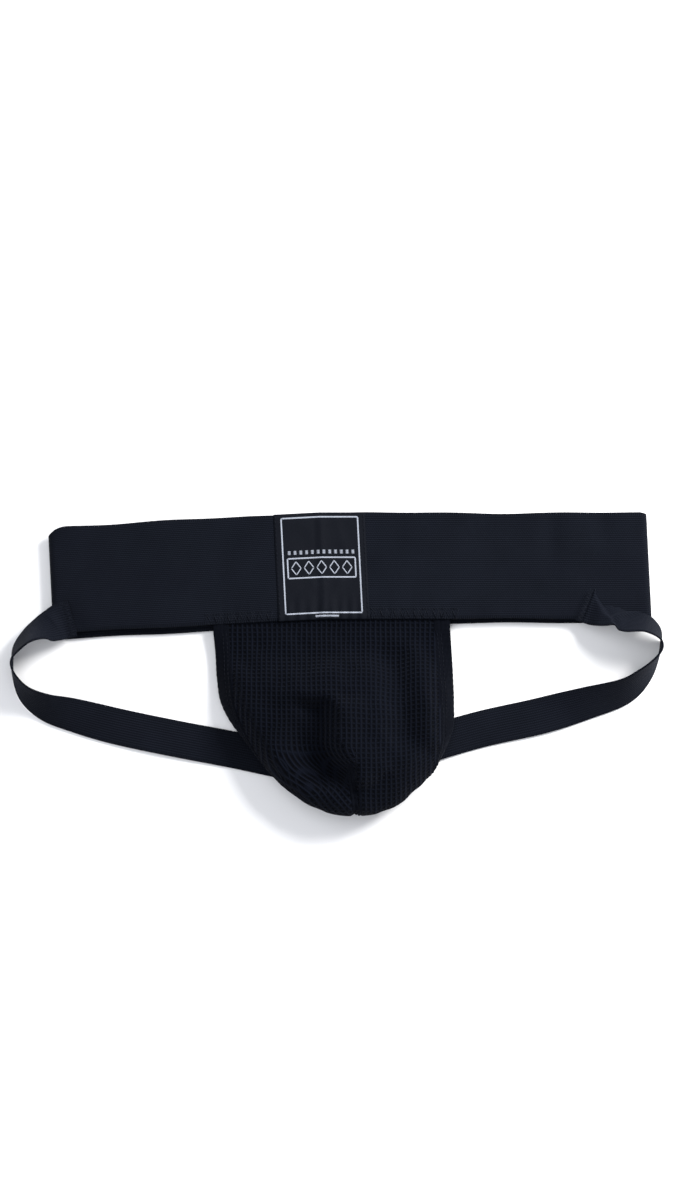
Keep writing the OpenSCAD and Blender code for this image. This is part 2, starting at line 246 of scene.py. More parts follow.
class Graph:
    """Short forms for building shader maths."""

    def __init__(self, nt):
        self.nt = nt

    def node(self, kind, **inputs):
        n = self.nt.nodes.new(kind)
        for k, v in inputs.items():
            self.put(n.inputs[k], v)
        return n

    def put(self, socket, v):
        if isinstance(v, bpy.types.NodeSocket):
            self.nt.links.new(v, socket)
        else:
            socket.default_value = v

    def m(self, op, a, b=0.0, c=0.0):
        n = self.nt.nodes.new("ShaderNodeMath")
        n.operation = op
        for i, v in enumerate((a, b, c)):
            self.put(n.inputs[i], v)
        return n.outputs[0]

    def cosine(self, x, pitch, phase=0.0):
        """0..1 ridge every pitch."""
        s = self.m("COSINE", self.m("MULTIPLY_ADD", x, 2 * math.pi / pitch, phase))
        return self.m("MULTIPLY_ADD", s, 0.5, 0.5)

    def mix(self, f, a, b):
        n = self.nt.nodes.new("ShaderNodeMix")
        n.data_type = "RGBA"
        self.put(n.inputs[0], f)
        self.put(n.inputs[6], a)
        self.put(n.inputs[7], b)
        return n.outputs[2]

    def uv(self):
        n = self.nt.nodes.new("ShaderNodeUVMap")
        n.uv_map = "UVMap"
        s = self.nt.nodes.new("ShaderNodeSeparateXYZ")
        self.nt.links.new(n.outputs[0], s.inputs[0])
        return s.outputs[0], s.outputs[1]

    def noise(self, scale, detail=2.0, rough=0.5):
        geo = self.nt.nodes.new("ShaderNodeTexCoord")
        n = self.nt.nodes.new("ShaderNodeTexNoise")
        n.inputs["Scale"].default_value = scale
        n.inputs["Detail"].default_value = detail
        n.inputs["Roughness"].default_value = rough
        self.nt.links.new(geo.outputs["Object"], n.inputs["Vector"])
        return n.outputs[0]

    def bump(self, height, distance, strength, bsdf):
        b = self.nt.nodes.new("ShaderNodeBump")
        b.inputs["Distance"].default_value = distance
        b.inputs["Strength"].default_value = strength
        self.put(b.inputs["Height"], height)
        self.nt.links.new(b.outputs[0], bsdf.inputs["Normal"])


def elastic_material(name, dark, light, rib, cross, edge_v):
    """Woven elastic. UV in mm: u along, v across from 0 to edge_v."""
    m, nt, bsdf = new_material(name, 0.82, 0.10)
    g = Graph(nt)
    u, v = g.uv()
    rows = g.m("FLOOR", g.m("DIVIDE", v, rib))
    ribs = g.cosine(v, rib, math.pi)
    # little floats along each rib, staggered from one rib to the next
    shift = g.m("MULTIPLY", g.m("MODULO", rows, 2.0), math.pi)
    turn = g.m("ADD", g.m("MULTIPLY", u, 2 * math.pi / cross), shift)
    along = g.m("MULTIPLY_ADD", g.m("COSINE", turn), 0.5, 0.5)
    height = g.m("MULTIPLY", g.m("POWER", ribs, 0.6), g.m("MULTIPLY_ADD", along, 0.4, 0.6))
    # woven selvedge: finer lines along both edges
    edge = g.m("MINIMUM", g.m("ABSOLUTE", v), g.m("ABSOLUTE", g.m("SUBTRACT", v, edge_v)))
    selv = g.m("LESS_THAN", edge, 2.4)
    fine = g.cosine(u, cross * 0.8)
    inside = g.m("MULTIPLY", height, g.m("SUBTRACT", 1.0, selv))
    height = g.m("ADD", inside, g.m("MULTIPLY", g.m("MULTIPLY", fine, 0.8), selv))
    big = g.noise(38.0, 3.0)
    small = g.noise(1500.0, 3.0, 0.7)
    # colour: painted shade, darker in the hollows between ribs and floats and lighter on their tops, plus random tone
    # from the two noises
    shade_and_tone = g.m("ADD", g.m("MULTIPLY", height, 0.62), g.m("MULTIPLY", small, 0.34))
    shade_and_tone = g.m("ADD", shade_and_tone, g.m("MULTIPLY", g.m("SUBTRACT", big, 0.5), 0.35))
    g.put(bsdf.inputs["Base Color"], g.mix(shade_and_tone, dark, light))
    g.bump(g.m("ADD", height, g.m("MULTIPLY", small, 0.5)), 0.00035, 0.9, bsdf)
    return m


def waffle_material(name, dark, light, pitch_u, pitch_v):
    m, nt, bsdf = new_material(name, 0.95, 0.07)
    g = Graph(nt)
    u, v = g.uv()
    wob = g.m("MULTIPLY", g.m("SUBTRACT", g.noise(60.0, 2.0), 0.5), 1.6)
    u2, v2 = g.m("ADD", u, wob), g.m("ADD", v, g.m("MULTIPLY", wob, 0.7))
    cu = g.cosine(u2, pitch_u)
    cv = g.cosine(v2, pitch_v)
    ridge_u = g.m("POWER", cu, 1.5)
    ridge_v = g.m("POWER", cv, 2.0)
    height = g.m("MAXIMUM", ridge_u, g.m("MULTIPLY", ridge_v, 0.72))
    # knit loops on the ridges
    loops = g.m("MULTIPLY", g.cosine(v2, pitch_v / 4), g.cosine(u2, pitch_u / 4))
    small = g.noise(1300.0, 3.0, 0.7)
    big = g.noise(30.0, 2.0)
    full = g.m("ADD", height, g.m("ADD", g.m("MULTIPLY", loops, 0.18), g.m("MULTIPLY", small, 0.22)))
    # colour: painted shade, darker in the waffle's sunken cells and lighter on its ridges, plus random tone from the
    # two noises
    shade_and_tone = g.m("ADD", g.m("MULTIPLY", height, 0.75), g.m("MULTIPLY", small, 0.25))
    shade_and_tone = g.m("ADD", shade_and_tone, g.m("MULTIPLY", g.m("SUBTRACT", big, 0.5), 0.3))
    g.put(bsdf.inputs["Base Color"], g.mix(shade_and_tone, dark, light))
    g.bump(full, 0.0011, 1.0, bsdf)
    return m


def rib_material(name, dark, light, pitch):
    """Close flat knit for the hems and the dart, with fine lines along u."""
    m, nt, bsdf = new_material(name, 0.93, 0.08)
    g = Graph(nt)
    u, v = g.uv()
    h = g.m("MULTIPLY", g.cosine(v, pitch), g.m("MULTIPLY_ADD", g.cosine(u, pitch * 0.8), 0.4, 0.6))
    small = g.noise(1400.0, 3.0, 0.7)
    # colour: painted shade, darker between the fine knit lines and lighter on them, plus random tone from the noise
    shade_and_tone = g.m("ADD", g.m("MULTIPLY", h, 0.55), g.m("MULTIPLY", small, 0.4))
    g.put(bsdf.inputs["Base Color"], g.mix(shade_and_tone, dark, light))
    g.bump(g.m("ADD", h, g.m("MULTIPLY", small, 0.6)), 0.0003, 0.9, bsdf)
    return m


def label_material(name, dark, light):
    """Fine satin weave on the diagonal."""
    m, nt, bsdf = new_material(name, 0.62, 0.08)
    g = Graph(nt)
    u, v = g.uv()
    diagonal = g.cosine(g.m("ADD", u, g.m("MULTIPLY", v, 0.5)), 0.55)
    yarn = g.cosine(v, 0.42)
    small = g.noise(1800.0, 2.0, 0.6)
    h = g.m("ADD", g.m("MULTIPLY", diagonal, 0.5), g.m("MULTIPLY", yarn, 0.5))
    # colour: painted shade, darker between the raised weave lines and lighter on them, plus random tone from the
    # noise
    shade_and_tone = g.m("ADD", g.m("MULTIPLY", h, 0.5), g.m("MULTIPLY", small, 0.4))
    g.put(bsdf.inputs["Base Color"], g.mix(shade_and_tone, dark, light))
    g.bump(h, 0.00012, 0.7, bsdf)
    return m


def thread_material(name, dark, light, rough, sheen):
    m, nt, bsdf = new_material(name, rough, sheen)
    g = Graph(nt)
    small = g.noise(1600.0, 2.0, 0.6)
    g.put(bsdf.inputs["Base Color"], g.mix(small, dark, light))
    g.bump(small, 0.0002, 0.8, bsdf)
    return m


def rgb(r, g, b):
    return (r, g, b, 1.0)


elastic = elastic_material("waist_elastic", rgb(.0008, .0012, .0026), rgb(.0066, .0084, .0140),
                           1.35, 1.7, BAND_W)
strap_elastic = elastic_material("strap_elastic", rgb(.0008, .0012, .0026), rgb(.0068, .0086, .0144),
                                 1.7, 1.5, STRAP_W)
waffle = waffle_material("waffle_knit", rgb(.0001, .0001, .0004), rgb(.0032, .0045, .0092), 3.5, 3.3)
flat_knit = rib_material("flat_knit", rgb(.0002, .0003, .0008), rgb(.0030, .0042, .0084), 0.9)
satin = label_material("label_satin", rgb(.0014, .0018, .0034), rgb(.0058, .0072, .0116))
white_yarn = thread_material("white_yarn", rgb(.18, .20, .24), rgb(.46, .49, .56), 0.7, 0.2)
black_thread = thread_material("black_thread", rgb(.0015, .002, .0035), rgb(.0095, .0115, .018), 0.5, 0.1)


# ------------------------------------------------------------------ waistband
def front_lift(x, y):
    """How the front layer's surface rises or sinks from flat, in mm."""
    low = y - front_low(x)                     # height above the layer's lower edge
    z = 0.28 * waves(x, y, 95, 3) + 0.10 * waves(x, y, 30, 4)
    # soft upright dents near the right end
    z = z - 1.25 * bump(x, 142, 7) * smooth(18, 60, low) + 0.8 * bump(x, 157, 9) * smooth(10, 60, low)
    z = z - 0.9 * bump(x, 178, 6) * smooth(36, 66, low)
    # faint crossing band in the left half
    z = z + 0.5 * bump(x, -128, 16) - 0.5 * bump(x, -88, 14)
    # drag lines from the seam with the pouch
    near = smooth(22, 0, low) * smooth(-108, -96, x) * smooth(82, 70, x)
    z = z + near * 0.42 * np.sin(x * 2 * math.pi / 7.3 + 0.6 * np.sin(x / 9.0))
    z = z - 0.35 * smooth(3, 0, low)
    # the left strap pulls a dimple into the corner
    z = z - 1.1 * np.exp(-(segment(x, y, (-206, -24), (-193, -41))[0] / 5.5) ** 2)
    # gentle pull from the right strap's end
    d, _, t = segment(x, y, (168, -14), (120, 2))
    z = z + 0.5 * np.exp(-(d / 9) ** 2) * (1 - t)
    return np.clip(z, -2.2, 1.9) * smooth(FOLD_MID + 4, FOLD_MID - 14, np.abs(x))


def front_top(x, y):
    return BAND_TOP + front_lift(x, y)


def band_rings():
    """Middle line, outer normal and side for the closed loop, as fine rings."""
    out = []
    xs = np.linspace(-FOLD_MID, FOLD_MID, 150)
    for x in xs:
        out.append((x, back_mid(x), 0.9, 0, -1, "back"))
    steps = 12
    for i in range(1, steps):
        k = i / steps
        a = math.pi * (k - 0.5)
        y = back_mid(FOLD_MID) * (1 - k) + front_mid(FOLD_MID) * k
        co, si = math.cos(a), math.sin(a)
        out.append((FOLD_MID + FOLD_R * co, y, BAND_MID_Z + FOLD_R * si, co, si, "fold"))
    for x in xs[::-1]:
        out.append((x, front_mid(x), BAND_TOP - 0.9, 0, 1, "front"))
    for i in range(1, steps):
        k = i / steps
        a = math.pi * (0.5 - k)
        y = front_mid(-FOLD_MID) * (1 - k) + back_mid(-FOLD_MID) * k
        co, si = math.cos(a), math.sin(a)
        out.append((-FOLD_MID - FOLD_R * co, y, BAND_MID_Z + FOLD_R * si, -co, si, "fold"))
    return out


def build_waistband():
    prof = section(BAND_W, BAND_T, 44, 4)
    rings, uvs = [], []
    u = 0.0
    prev = None
    for (x, y, z, nx, nz, kind) in band_rings():
        here = np.array([x, y, z])
        if prev is not None:
            u += np.linalg.norm(here - prev)
        prev = here
        w, t = prof[:, 0], prof[:, 1]
        # the band's two long edges wander a little
        wander = 0.45 * math.sin(x / 23.0) + 0.3 * math.sin(x / 11.0 + 1)
        w = w + np.where(w > 0, 1, 0.7) * (w / 38) ** 8 * np.sign(w) * (wander - 0.45)
        # the top corner at the left end is rounded
        corner = np.clip((-x - 198) / 14.0, 0, 1) ** 2 * 5.5
        w = w - corner * np.clip(w / 38, 0, 1) ** 6
        px = x + nx * t - LEAN * w
        py = y + w
        pz = z + nz * t
        if kind == "front":
            pz = pz + front_lift(px, py)
        if kind == "back":
            flat = smooth(FOLD_MID, FOLD_MID - 20, abs(x))
            pz = pz + np.clip(0.5 + 0.5 * waves(px, py, 70, 9), 0, 1.2) * flat
        rings.append(np.stack([px, py, pz], 1))
        uvs.append(np.stack([np.full(len(w), u), prof[:, 0] + BAND_W / 2], 1))
    o = ring_sweep("waistband_elastic_cloth", np.array(rings), np.array(uvs), elastic, closed=True)
    # the last face column runs back to the first ring: its u would jump, so it keeps the running value
    me = o.data
    n, mth = len(rings), len(prof)
    layer = me.uv_layers[0].data
    for p in range((n - 1) * mth, n * mth):
        poly = me.polygons[p]
        for li in poly.loop_indices:
            if me.loops[li].vertex_index < mth:
                layer[li].uv[0] = u + 2.0
    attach(o, "waistband")
    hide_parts("waistband_elastic")
    return o


band = build_waistband()


# cloth laid on the front layer: a grid over x, y with a thickness
def patch(name, xs, ys, place, thick, material, skew=True):
    """place(x, y) gives the height of its underside; edges are rounded over."""
    nx, ny = len(xs), len(ys)
    X, Y = np.meshgrid(xs, ys, indexing="ij")
    if skew:
        PX, PY = X - LEAN * Y, Y + front_mid(X)
    else:
        PX, PY = X, Y
    edge = np.minimum(np.minimum(X - xs[0], xs[-1] - X), np.minimum(Y - ys[0], ys[-1] - Y))
    low = place(PX, PY)
    top = low + thick * (0.55 + 0.45 * smooth(0, 0.5, edge))
    verts = np.concatenate([np.stack([PX, PY, z], 2).reshape(-1, 3) for z in (top, low)])
    uv = np.stack([X, Y], 2).reshape(-1, 2)
    uv = np.concatenate([uv, uv])
    return make_mesh(name, verts, slab_faces(nx, ny, flip=True), uv, material)


def label_lift(x, y):
    """The label's own crease and cockles, above the band."""
    v = y - front_mid(x)
    c = x + LEAN * v - BEND_X
    z = 0.75 * np.exp(-(np.abs(c - 0.8) / 3.2) ** 1.4) - 0.22 * bump(c, -3.6, 2.0)
    z = z + 0.42 * np.exp(-(segment(x, y, (-6, -8), (-19, -30))[0] / 3.2) ** 2)
    z = z + 0.35 * np.exp(-(segment(x, y, (-26, -12), (-40, -30))[0] / 3.5) ** 2)
    z = z + 0.25 * np.exp(-(segment(x, y, (-10, 36), (-4, 16))[0] / 3.5) ** 2)
    z = z + 0.12 * (1 + waves(x, y, 17, 21))
    edge = 32.5 - np.abs(c)
    return np.maximum(z, 0) * smooth(0, 6, edge) * smooth(-38, -30, v) * smooth(38, 30, v)


def label_under(x, y):
    return front_top(x, y) + 0.06 + label_lift(x, y)


def label_face(x, y):
    return label_under(x, y) + 0.5


label_x = BEND_X + np.linspace(-32.3, 32.3, 90)
label_y = np.linspace(-37.8, 37.8, 100)
label = patch("front_label_cloth", label_x, label_y, label_under, 0.5, satin)
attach(label, "waistband")
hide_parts("front_label")


def on_label(cx, v, z=0.0):
    """A point on the label's face: cx from its middle line, v above the band's mid line."""
    x = BEND_X + cx - LEAN * v
    y = v + front_mid(BEND_X + cx)
    return [float(x), float(y), float(label_face(x, y)) + z]


def ribbon_lines(corners, closed, width, rows=2):
    """A woven line, as rows of yarn beside each other."""
    out = []
    pts = corners + ([corners[0]] if closed else [])
    for (a, b) in zip(pts[:-1], pts[1:]):
        dx, dy = b[0] - a[0], b[1] - a[1]
        ln = math.hypot(dx, dy)
        nx, ny = -dy / ln, dx / ln
        for r in range(rows):
            o = ((r + 0.5) / rows - 0.5) * width
            n = max(2, int(ln / 0.8))
            line = []
            for i in range(n + 1):
                jitter = 0.05 * math.sin(i * 2.4 + r * 1.7)
                line.append(on_label(a[0] + dx * i / n + nx * (o + jitter), a[1] + dy * i / n + ny * (o + jitter),
                                     0.05 + 0.07 * abs(math.sin(i * 1.57 + r * 1.57))))
            out.append(line)
    return out


fx, fy_low, fy_high = 27.0, -33.0, 34.6
frame_line = join_threads("label_frame_line_yarn", ribbon_lines(
    [(-fx, fy_low), (fx, fy_low), (fx, fy_high), (-fx, fy_high)], True, 0.95, 3), 0.21, white_yarn, 5, 0.6)
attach(frame_line, "waistband")
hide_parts("label_frame_line")

emblem = []
ex, e0, e1 = 23.9, -7.9, 6.0
em = (e0 + e1) / 2
emblem += ribbon_lines([(-ex, e0), (ex, e0), (ex, e1), (-ex, e1)], True, 0.95, 3)
for i in range(5):
    c = (i - 2) * 9.0
    w, h = 3.4, 4.7
    emblem += ribbon_lines([(c - w, em), (c, em - h), (c + w, em), (c, em + h)], True, 0.7)
for i in range(12):
    c = (i - 5.5) * 45.0 / 11
    for r in range(6):
        yy = e1 + 2.9 + r * 0.46
        emblem.append([on_label(c + dx, yy, up) for dx, up in ((-1.1, 0.08), (-0.4, 0.13), (0.4, 0.13), (1.1, 0.08))])
emblem = join_threads("label_emblem_yarn", emblem, 0.2, white_yarn, 5, 0.6)
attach(emblem, "waistband")
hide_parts("label_emblem")


# running stitches along the label's sides
def running(points, stitch, gap, lift=0.22, samples=6):
    """Stitches that rise from and dip into the cloth along a polyline of points."""
    p = np.asarray(points, float)
    d = np.concatenate([[0], np.cumsum(np.linalg.norm(np.diff(p, axis=0), axis=1))])
    out, s = [], 0.0
    while s + stitch < d[-1]:
        t = np.linspace(s, s + stitch, samples)
        q = np.stack([np.interp(t, d, p[:, k]) for k in range(3)], 1)
        q[:, 2] += lift * np.sin(np.linspace(0, math.pi, samples)) - 0.1
        out.append(q)
        s += stitch + gap
    return out


stitches = []
for side in (-1, 1):
    line = [on_label(side * 31.0, v, 0.12) for v in np.linspace(-36.5, 36.8, 60)]
    stitches += running(line, 2.6, 0.6)
label_stitch = join_threads("label_stitching_thread", stitches, 0.2, black_thread)
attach(label_stitch, "waistband")
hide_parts("label_stitching")

tack = []
n = 46
for i in range(n):
    c0, c1 = -6.0 + 16.4 * i / n, -6.0 + 16.4 * (i + 1) / n
    v0, v1 = (-36.3, -34.5) if i % 2 else (-34.5, -36.3)
    middle = on_label((c0 + c1) / 2, (v0 + v1) / 2, 0.22)
    tack.append([on_label(c0, v0, 0.05), middle, on_label(c1, v1, 0.05)])
tack = join_threads("label_bar_tack_yarn", tack, 0.2, white_yarn)
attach(tack, "waistband")
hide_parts("label_bar_tack")


# zigzag over the seam with the pouch, between two straight running rows
def seam_zigzag(x0, x1, base, height, pitch, face):
    out = []
    n = int((x1 - x0) / pitch)
    for i in range(n):
        a, b = x0 + (x1 - x0) * i / n, x0 + (x1 - x0) * (i + 1) / n
        up = (i % 2 == 0)
        ya = base + (0 if up else height)
        yb = base + (height if up else 0)
        pts = []
        for k in range(6):
            t = k / 5
            x = a + (b - a) * t
            y = ya + (yb - ya) * t + float(front_low(x))
            pts.append([x, y, float(face(x, y)) + 0.05 + 0.24 * math.sin(math.pi * t)])
        out.append(pts)
    return out


def seam_face(x, y):
    over_label = abs(x + LEAN * (y - front_mid(x)) - BEND_X) < 32.4
    return label_face(x, y) if over_label else front_top(x, y)


seam = []
for (a, b) in ((-103, -54.5), (14.5, 77)):
    seam += seam_zigzag(a, b, 1.4, 5.6, 2.3, seam_face)
    for v in (1.1, 7.6):
        line = [[x, float(front_low(x)) + v, float(front_top(x, front_low(x) + v)) + 0.12]
                for x in np.linspace(a, b, 60)]
        seam += running(line, 1.7, 0.35, 0.2, 5)
seam = join_threads("pouch_seam_zigzag_thread", seam, 0.22, black_thread)
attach(seam, "waistband")
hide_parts("pouch_seam_zigzag")

# zigzag that joins the band's ends, inside
inner = []
n = 38
for i in range(n):
    v0 = -28 + 62 * i / n
    v1 = -28 + 62 * (i + 1) / n
    c0, c1 = (-2.6, 2.6) if i % 2 else (2.6, -2.6)
    pts = []
    for k in range(5):
        t = k / 4
        x, v = BEND_X + c0 + (c1 - c0) * t, v0 + (v1 - v0) * t
        y = float(v + front_mid(x))
        pts.append([x - LEAN * v, y, float(front_top(x, y)) - BAND_T - 0.12 - 0.1 * math.sin(math.pi * t)])
    inner.append(pts)
inner = join_threads("waistband_join_thread", inner, 0.22, black_thread)
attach(inner, "waistband")
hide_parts("waistband_join_stitching")

# ------------------------------------------------------------------ pouch
LEFT = [[-0.5, 0, 1], [-0.49, -0.13, 0.7], [-0.482, -0.27, 0.565], [-0.463, -0.4, 0.565],
        [-0.4, -0.53, 0.565], [-0.29, -0.655, 0.6], [-0.17, -0.735, 0.62], [-0.09, -0.745, 0.62]]
RIGHT = [[0.5, 0, 1], [0.507, -0.13, 0.7], [0.512, -0.27, 0.565], [0.515, -0.4, 0.565],
         [0.51, -0.53, 0.565], [0.46, -0.655, 0.6], [0.37, -0.735, 0.62], [0.27, -0.745, 0.62]]
CROWN = [[0, 0], [0.3, 0], [0.76, 0], [1, 0.05], [0.98, 0.17], [0.72, 0.315], [0.2, 0.25], [0, 0]]


def stations(table, v):
    p = np.asarray(table, float)
    s = np.clip(v, 0, 0.99999) * (len(p) - 1)
    i = np.floor(s).astype(int)
    t = (s - i)[..., None]
    a, b = p[np.maximum(i - 1, 0)], p[i]
    c, d = p[i + 1], p[np.minimum(i + 2, len(p) - 1)]
    return 0.5 * (2 * b + (c - a) * t + (2 * a - 5 * b + 4 * c - d) * t * t
                  + (3 * b - a - 3 * c + d) * t ** 3)


def pouch_raw(u, v):
    """The pouch's mid surface without folds: v is 0 at the seam, 1 at the foot, and below 0 behind the band."""
    vv = np.clip(v, 0, 1)
    el, er, c = stations(LEFT, vv), stations(RIGHT, vv), stations(CROWN, vv)
    s = ((u + 1) / 2)[..., None]
    e = el * (1 - s) + er * s
    f = np.maximum(0, 1 - np.abs(u) ** 2.4) ** 0.75
    x = POUCH_X + e[..., 0] * POUCH_W
    y = HINGE_Y - 1 + e[..., 1] * POUCH_D - c[..., 1] * POUCH_D * f
    z = e[..., 2] * HINGE_Z + c[..., 0] * POUCH_RISE * f
    up = np.maximum(-v, 0) * POUCH_D
    return np.stack([x, y + up, z - 0.12 * smooth(0, 3, up)], -1)


def along_path(x, y, path):
    """Signed distance from a polyline, positive to its +x side where it runs down."""
    best = np.full(np.shape(x), 1e9)
    signed = np.zeros(np.shape(x))
    for a, b in zip(path[:-1], path[1:]):
        d, side, _ = segment(x, y, a, b)
        near = d < best
        best = np.where(near, d, best)
        signed = np.where(near, -np.sign(side) * d, signed)
    return signed


def drape(s, high, deep, wall, floor_to, back_to, right):
    """Section of a slack fold: a crest at 0, a steep wall down to its left, a floor, a slow rise back."""
    back = -deep * smooth(1, 0, (-s - floor_to) / (back_to - floor_to))
    left = np.where(s > -wall, high - (high + deep) * smooth(0, 1, -s / wall),
                    np.where(s > -floor_to, -deep, back))
    return np.where(s < 0, left, high * smooth(1, 0, s / right))


RIDGE_1 = [(-6, -91), (-5, -117), (1.5, -130), (8, -140), (6, -149)]
RIDGE_2 = [(45, -54), (50, -78), (54, -100), (56, -122)]


def fold_field(x, y):
    """How far the slack cloth sinks or stands, in mm along its own face."""
    z = 0.7 * waves(x, y, 46, 31) + 0.35 * waves(x, y, 19, 32)
    # the long fold: cloth stands up along it and drops away on its left
    s = along_path(x, y, RIDGE_1)
    wob = 1.2 * np.sin(y / 7.0)
    z = z + drape(s + wob, 5.0, 12.5, 19, 24, 50, 24) * smooth(-86, -98, y) * smooth(-160, -146, y)
    # second fold at the right
    s = along_path(x, y, RIDGE_2)
    z = z + drape(s, 2.4, 6.0, 15, 17, 36, 14) * smooth(-48, -66, y) * smooth(-136, -116, y)
    # shoulder of the left flank
    s = along_path(x, y, [(-79, -72), (-64, -112), (-46, -150)])
    z = z + 2.4 * np.exp(-((s - 1) / 7.0) ** 2) * smooth(-62, -80, y)
    z = z - 3.0 * np.exp(-((s - 16) / 9.0) ** 2) * smooth(-80, -100, y) * smooth(-150, -135, y)
    # gathers from the top seam
    near = smooth(-66, -44, y)
    z = z + near * 0.45 * np.sin(x * 2 * math.pi / 15 + 1.2)
    # small puckers that run into the dart from both sides
    for start, end, deep, width in (((-24, -152), (3, -163), 1.6, 3.6),
                                    ((26, -146), (5, -158), 1.5, 3.6),
                                    ((4, -150), (4, -178), 2.4, 3.2)):
        z = z - deep * np.exp(-(segment(x, y, start, end)[0] / width) ** 2)
    return z


def pouch_point(u, v, out=0.0):
    """A point on the pouch, out mm above its mid surface."""
    u, v = np.broadcast_arrays(np.asarray(u, float), np.asarray(v, float))
    p = pouch_raw(u, v)
    d = 0.004
    du = pouch_raw(np.minimum(u + d, 1), v) - pouch_raw(np.maximum(u - d, -1), v)
    dv = pouch_raw(u, v + d) - pouch_raw(u, v - d)
    n = np.cross(dv, du)
    n /= np.maximum(np.linalg.norm(n, axis=-1), 1e-9)[..., None]
    calm = smooth(0.0, 0.10, v) * smooth(1.0, 0.80, v) * smooth(1.0, 0.86, np.abs(u))
    lift = fold_field(p[..., 0], p[..., 1]) * calm
    lift = np.minimum(lift, 6.5)
    rise = n.copy()
    rise[..., 1] *= 1 - 0.8 * smooth(0.45, 0.75, v) * (lift > 0)
    q = p + n * out + rise * lift[..., None]
    q[..., 1] += 2.8 * np.exp(-((v - 0.84) / 0.13) ** 2) * smooth(0.95, 0.7, np.abs(u))
    return q


def shell(name, us, vs, thick, material, uv_of):
    """A piece of the pouch with a real thickness, half on each side of its mid surface."""
    U, V = np.meshgrid(us, vs, indexing="ij")
    nu, nv = len(us), len(vs)
    top = pouch_point(U, V, thick / 2)
    bot = pouch_point(U, V, -thick / 2)
    uv = uv_of(U, V, top)
    verts = np.concatenate([top.reshape(-1, 3), bot.reshape(-1, 3)])
    uvs = np.concatenate([uv.reshape(-1, 2)] * 2)
    return make_mesh(name, verts, slab_faces(nu, nv), uvs, material)


def panel_uv(U, V, P):
    """Ribs run straight down; left of the dart the cloth is turned, so that they run slanted into it."""
    x, y = P[..., 0], P[..., 1]
    xd = 4.0
    step = np.linalg.norm(np.diff(P, axis=1), axis=-1)
    down = np.concatenate([np.zeros((P.shape[0], 1)), np.cumsum(step, axis=1)], axis=1)
    down = 0.3 * down + 0.7 * np.median(down, axis=0)[None, :]
    turn = 0.72 * smooth(-122, -158, y) * smooth(-70, -22, x) * (x < xd)
    dx, dy = x - xd, -(down - 78.0)
    uu = np.cos(turn) * dx + np.sin(turn) * dy
    vv = np.sin(turn) * dx - np.cos(turn) * dy
    return np.stack([uu, vv], -1)


HEM_U = 1 - 2 * 11 / POUCH_W
top_v = -9.5 / POUCH_D
vs = np.concatenate([np.linspace(top_v, 0, 9)[:-1], np.linspace(0, 1, 150)])
panel_us = np.linspace(-HEM_U - 0.02, HEM_U + 0.02, 190)
panel = shell("pouch_panel_knit", panel_us, vs, KNIT_T, waffle, panel_uv)


def hem_uv(U, V, P):
    step = np.linalg.norm(np.diff(P, axis=1), axis=-1)
    along = np.concatenate([np.zeros((P.shape[0], 1)), np.cumsum(step, axis=1)], axis=1)
    return np.stack([along, U * POUCH_W / 2], -1)


def hem(name, side, node):
    inner_u, outer_u = side * (HEM_U - 0.004), side * 1.0
    us = np.sort(np.linspace(inner_u, outer_u, 22))
    U, V = np.meshgrid(us, vs, indexing="ij")
    nu, nv = len(us), len(vs)
    across = np.abs(U - outer_u) / abs(inner_u - outer_u)
    roll = np.sqrt(np.clip(1 - (1 - np.clip(across / 0.10, 0, 1)) ** 2, 0, 1))
    inner_roll = np.sqrt(np.clip(1 - (1 - np.clip((1 - across) / 0.07, 0, 1)) ** 2, 0, 1))
    # two sewn rows press into the hem
    dents = 0.28 * (bump(across, 0.86, 0.045) + bump(across, 0.62, 0.045))
    ripple = 0.14 * np.sin(V * 132 * 2 * math.pi / 4.2 + across * 2)
    t_top = (1.05 + ripple * (0.3 + 0.7 * (1 - across)) - dents) * roll * (0.35 + 0.65 * inner_roll)
    top = pouch_point(U, V, 0.0)
    nrm = pouch_point(U, V, 1.0) - top
    up = top + nrm * (0.0 + t_top)[..., None]
    lo = top - nrm * (1.35 * roll)[..., None]
    uv = hem_uv(U, V, top)
    verts = np.concatenate([up.reshape(-1, 3), lo.reshape(-1, 3)])
    uvs = np.concatenate([uv.reshape(-1, 2)] * 2)
    o = make_mesh(name, verts, slab_faces(nu, nv), uvs, flat_knit)
    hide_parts(node)
    return o


left_hem = hem("pouch_left_hem_knit", -1, "pouch_left_hem")
right_hem = hem("pouch_right_hem_knit", 1, "pouch_right_hem")

rows = []
for side in (-1, 1):
    for a in (0.86, 0.62):
        uu = side * (1 - a * (1 - HEM_U))
        line = [pouch_point(uu, v, 1.0) for v in np.linspace(0.035, 0.93, 160)]
        p = np.array(line)
        q = np.array([pouch_point(uu, v, 1.25) for v in np.linspace(0.035, 0.93, 160)])
        d = np.concatenate([[0], np.cumsum(np.linalg.norm(np.diff(p, axis=0), axis=1))])
        s = 0.0
        while s + 2.5 < d[-1]:
            t = np.linspace(s, s + 2.5, 5)
            w = np.sin(np.linspace(0, math.pi, 5))
            A = np.stack([np.interp(t, d, p[:, k]) for k in range(3)], 1)
            B = np.stack([np.interp(t, d, q[:, k]) for k in range(3)], 1)
            rows.append(A + (B - A) * w[:, None])
            s += 3.1
hem_stitch = join_threads("pouch_hem_stitching_thread", rows, 0.2, black_thread)
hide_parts("pouch_hem_stitching")

